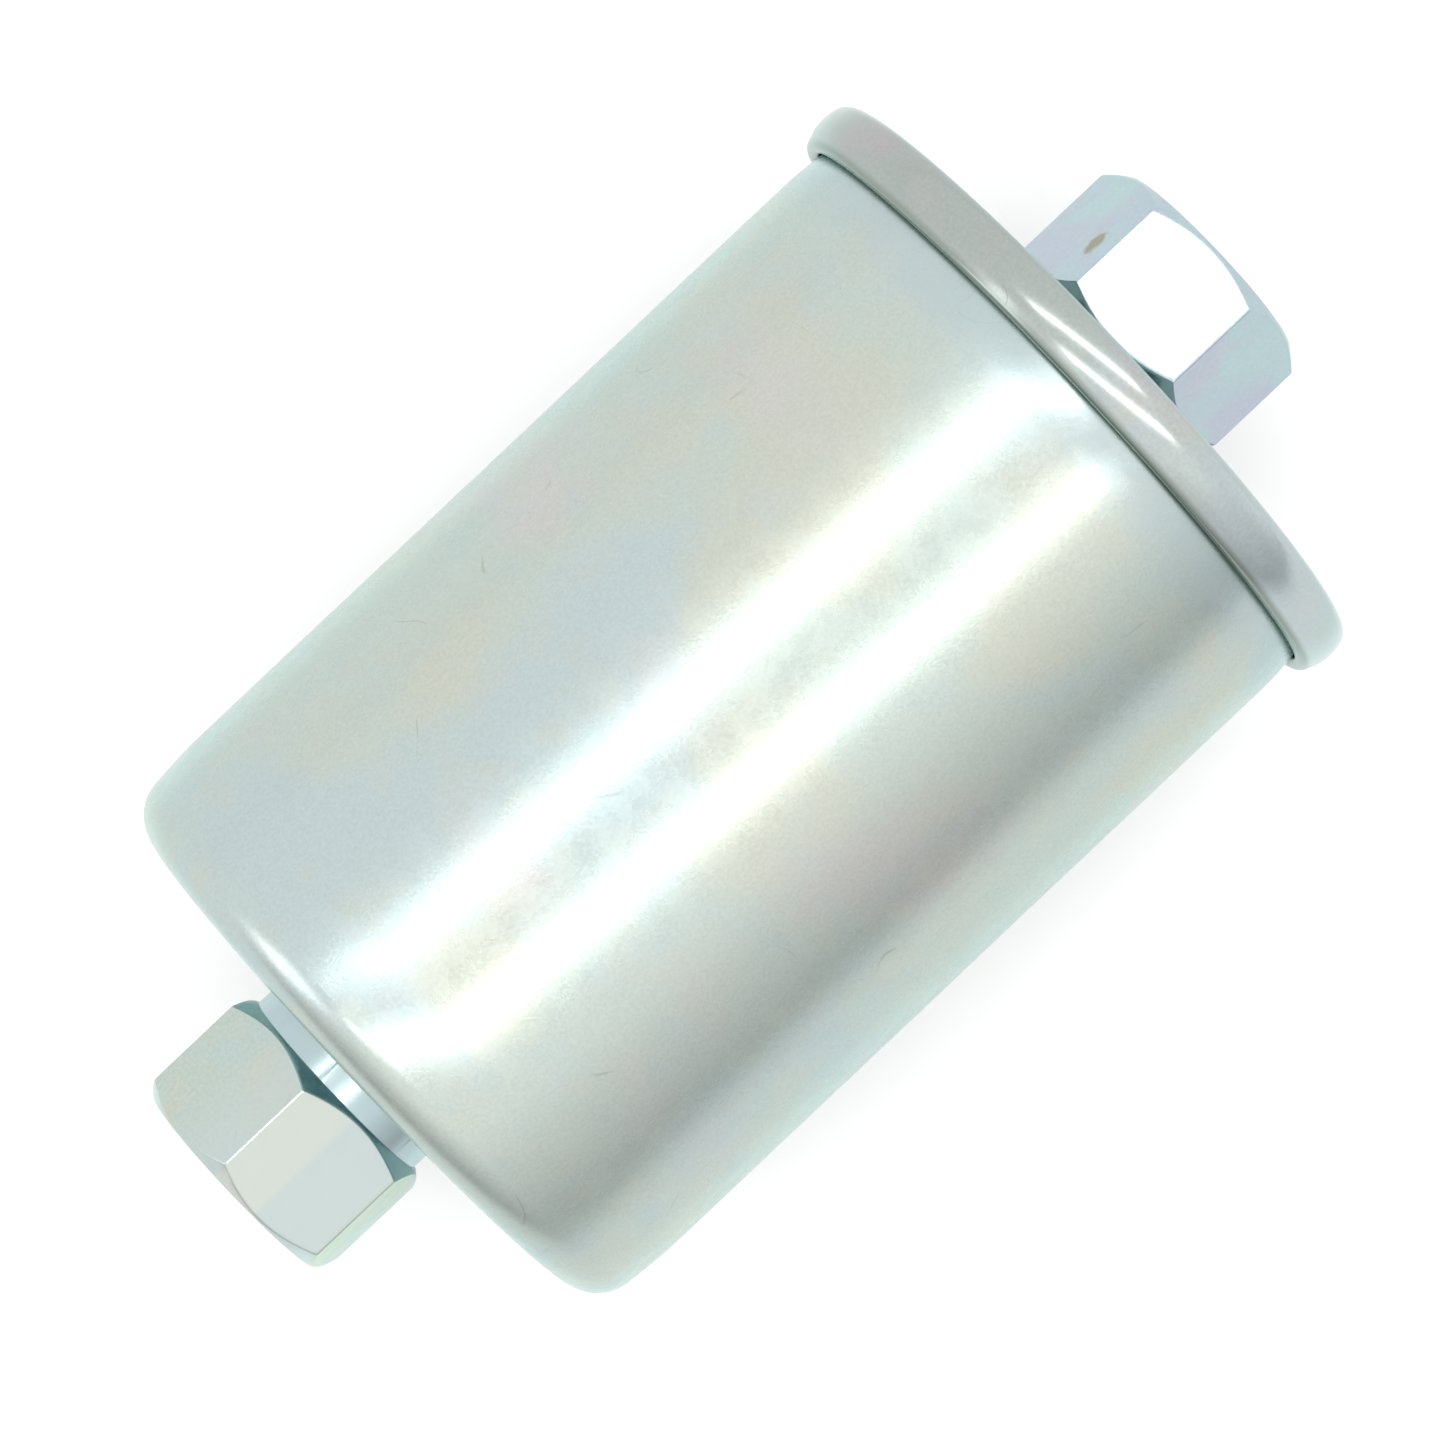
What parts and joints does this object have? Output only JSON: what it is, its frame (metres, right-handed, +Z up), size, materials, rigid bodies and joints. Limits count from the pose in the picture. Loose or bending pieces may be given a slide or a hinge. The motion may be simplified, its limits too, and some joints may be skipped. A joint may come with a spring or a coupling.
{
  "type": "in-line fuel filter",
  "caption": "Plated steel canister in-line fuel filter with a rolled seam at one end, a hexagon fitting with a female thread at each end, and a pleated element inside.",
  "frame": {"origin": "on the filter's axis, halfway between the two port faces", "axes": "+X along the axis in the direction of flow, from the inlet port at the can's base to the outlet port at the rolled-seam end; +Z up, with the filter lying on its side"},
  "size_m": [0.1062, 0.0586, 0.0586],
  "materials": {
    "can_zinc": "satin, clear blue zinc plating",
    "cover_zinc": "smooth rolled edge, clear blue zinc plating",
    "inlet_zinc": "machined, iridescent zinc plating",
    "outlet_zinc": "machined, clear blue zinc plating",
    "braze": "matte copper braze",
    "seam_compound": "matte",
    "spring_steel": "drawn wire",
    "filter_paper": "resin-treated paper",
    "bare_steel": "tinned sheet",
    "cap_steel": "stamped sheet",
    "plastisol": "cured plastisol",
    "nitrile": "matte"
  },
  "bodies": {
    "housing": {"can": "can_zinc", "end_cover": "cover_zinc", "seam_compound": "seam_compound", "inlet_fitting": "inlet_zinc", "outlet_fitting": "outlet_zinc", "inlet_braze": "braze", "outlet_braze": "braze", "element_spring": "spring_steel"},
    "element": {"pleated_media": "filter_paper", "seam_clip": "bare_steel", "core_tube": "bare_steel", "closed_end_cap": "cap_steel", "open_end_cap": "cap_steel", "closed_end_potting": "plastisol", "open_end_potting": "plastisol", "outlet_grommet": "nitrile"}
  },
  "joints": [
    {"name": "element_float", "type": "slide", "parent": "housing", "child": "element", "axis": [-1, 0, 0], "range_m": [0, 0.003], "stiffness_N_per_m": 1200, "springref_m": -0.006, "deforming": ["element_spring"]}
  ]
}
